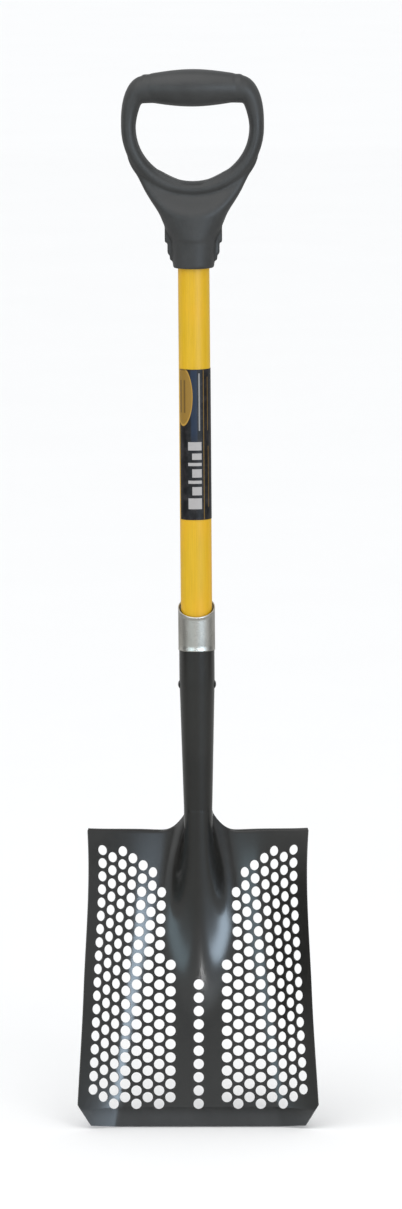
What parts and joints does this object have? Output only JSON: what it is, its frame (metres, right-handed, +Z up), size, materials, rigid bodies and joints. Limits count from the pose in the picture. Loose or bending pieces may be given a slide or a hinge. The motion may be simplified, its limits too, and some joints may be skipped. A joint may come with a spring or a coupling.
{
  "type": "sifting shovel",
  "caption": "Square-point sifting shovel: perforated dished steel blade with rolled socket, steel ferrule, round fibreglass shaft and moulded D-grip.",
  "frame": {"origin": "underside of the crossbar at its middle, on the shaft's axis, where a hook carries the hanging shovel", "axes": "+Z up along the shaft towards the grip, +X to the right as the loading face is seen, -Y out of the loading face"},
  "size_m": [0.2426, 0.1005, 1.0672],
  "materials": {
    "blade_paint": "gloss black enamel on pressed steel",
    "ferrule_steel": "bare zinc-plated steel, drawn lengthwise",
    "shaft_fibreglass": "pigmented yellow fibreglass, semi-gloss",
    "shaft_filler": "plain turned hardwood, hidden inside the tube",
    "label_film": "printed vinyl film with a plain gold oval and lines",
    "grip_plastic": "charcoal moulded plastic with a fine texture",
    "pin_steel": "plain steel pin"
  },
  "bodies": {
    "root": {"blade": "blade_paint", "ferrule": "ferrule_steel", "socket_rivet": "blade_paint", "shaft_tube": "shaft_fibreglass", "shaft_core": "shaft_filler", "shaft_plug": "shaft_filler", "label": "label_film", "d_grip": "grip_plastic", "grip_pin": "pin_steel"}
  },
  "joints": []
}
